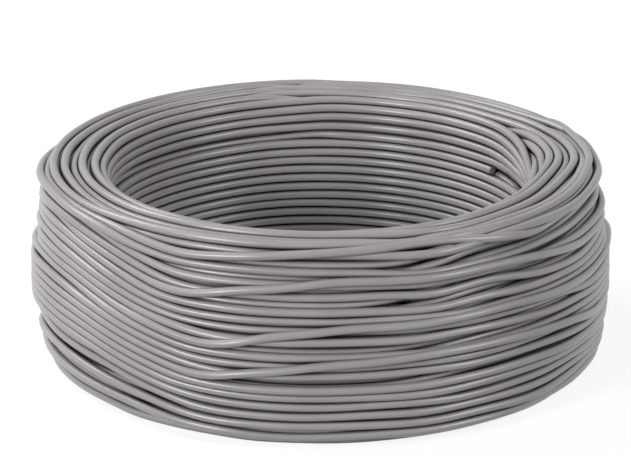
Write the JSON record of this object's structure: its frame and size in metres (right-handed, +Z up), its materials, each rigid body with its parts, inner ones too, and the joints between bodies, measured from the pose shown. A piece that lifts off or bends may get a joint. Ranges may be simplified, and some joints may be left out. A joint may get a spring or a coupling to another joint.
{
  "type": "coil of electrical wire",
  "caption": "Bare coil of grey insulated single-core electrical wire, wound into a ring with an open bore and lying on its end.",
  "frame": {"origin": "centre of the coil's lower end, on the plane that it lies on", "axes": "+Z up along the coil's axis; the coil is the same all round, so +X and +Y are free"},
  "size_m": [0.192, 0.192, 0.066],
  "materials": {
    "insulation": "smooth extruded PVC insulation, satin sheen, mid grey"
  },
  "bodies": {
    "root": {"wire_coil": "insulation"}
  },
  "joints": []
}
